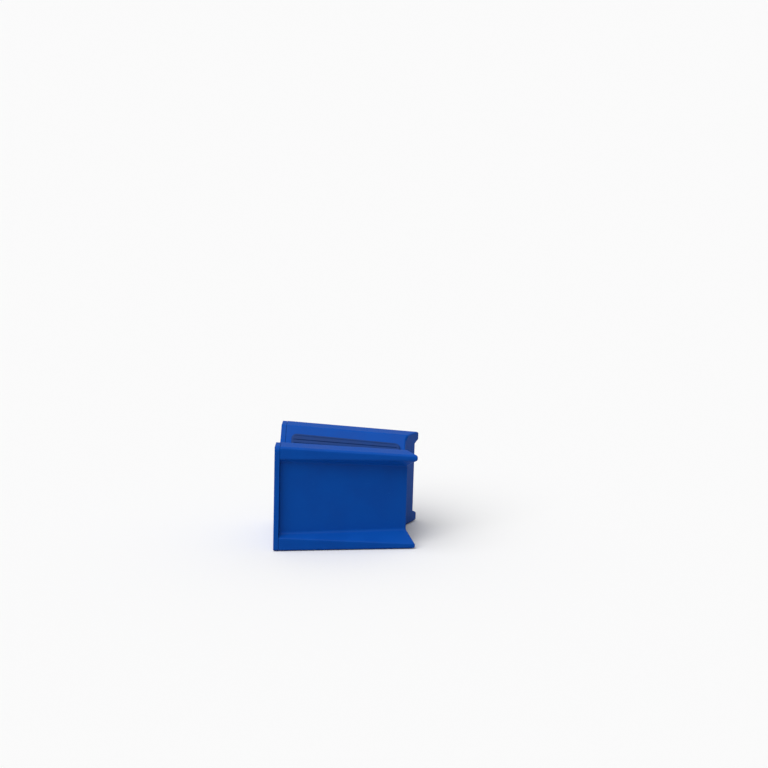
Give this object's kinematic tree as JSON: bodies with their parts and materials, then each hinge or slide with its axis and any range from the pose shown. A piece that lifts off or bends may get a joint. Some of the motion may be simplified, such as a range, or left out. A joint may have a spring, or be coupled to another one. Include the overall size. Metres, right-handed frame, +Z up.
{
  "type": "bench neck rest",
  "caption": "Hollow tapered block with a padded trough along its top and a padded channel across its tip end; it carries an instrument's neck on a bench.",
  "frame": {"origin": "on the bench, under the middle of the block's bounding box", "axes": "+X from the base end to the tip end, -Y towards the front wall, +Z up"},
  "size_m": [0.1326, 0.0984, 0.0988],
  "materials": {
    "moulding": "satin blue moulding",
    "plate": "satin blue moulding",
    "lining": "soft matt blue",
    "grip": "matt black",
    "screw": "zinc plated"
  },
  "bodies": {
    "root": {"body_shell": "moulding", "base_plate": "plate", "base_screw_1": "screw", "base_screw_2": "screw", "base_screw_3": "screw", "base_screw_4": "screw", "top_cradle_pad": "lining", "end_cradle_pad": "lining", "front_sole_pad": "grip", "rear_sole_pad": "grip"}
  },
  "joints": []
}
